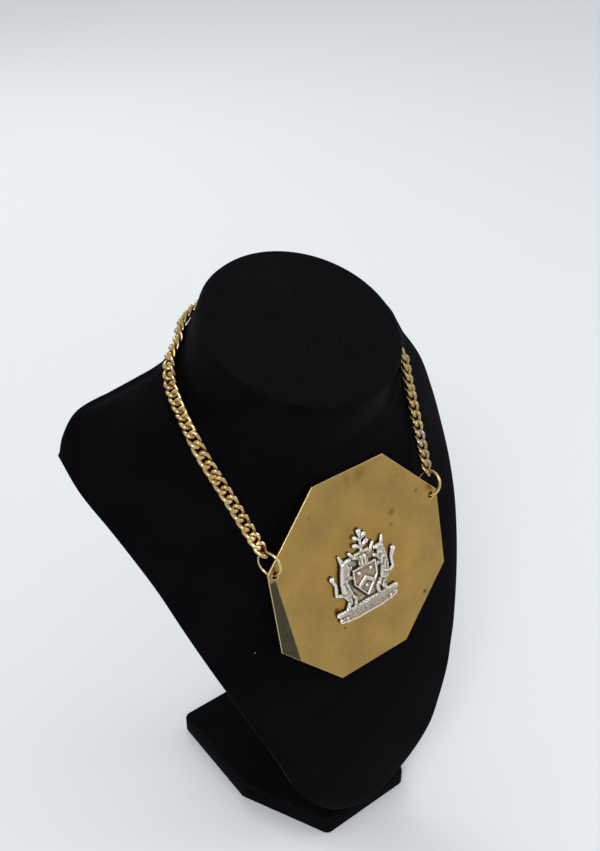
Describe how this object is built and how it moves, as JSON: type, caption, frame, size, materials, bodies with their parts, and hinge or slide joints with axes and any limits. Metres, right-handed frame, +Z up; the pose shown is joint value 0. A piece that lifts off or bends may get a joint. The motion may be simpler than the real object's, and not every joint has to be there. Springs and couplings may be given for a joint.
{
  "type": "gorget on a neck bust",
  "caption": "Eight-sided brass gorget plate with a cast silver coat of arms, hung by rings and a curb chain on a velvet neck bust.",
  "frame": {"origin": "on the floor, in the middle of the base's width and close to the middle of its depth, under the base's flat underside", "axes": "+Z up, +X to the right as seen from the front, and the front with the plate faces -Y"},
  "size_m": [0.2206, 0.1352, 0.3218],
  "materials": {
    "black_velvet": "near-black velvet pile over a rigid form",
    "dark_wood": "black-stained wood, hidden behind the chest",
    "polished_brass": "old gilt brass, mottled and softly glossy",
    "cast_silver": "cast silver relief, worn bright on its high parts",
    "gilt_chain": "gilt brass wire with flat filed faces"
  },
  "bodies": {
    "root": {"base": "black_velvet", "neck_form": "black_velvet", "stand_post": "dark_wood", "gorget_plate": "polished_brass", "coat_of_arms": "cast_silver", "ring_left": "gilt_chain", "ring_right": "gilt_chain", "chain": "gilt_chain"}
  },
  "joints": []
}
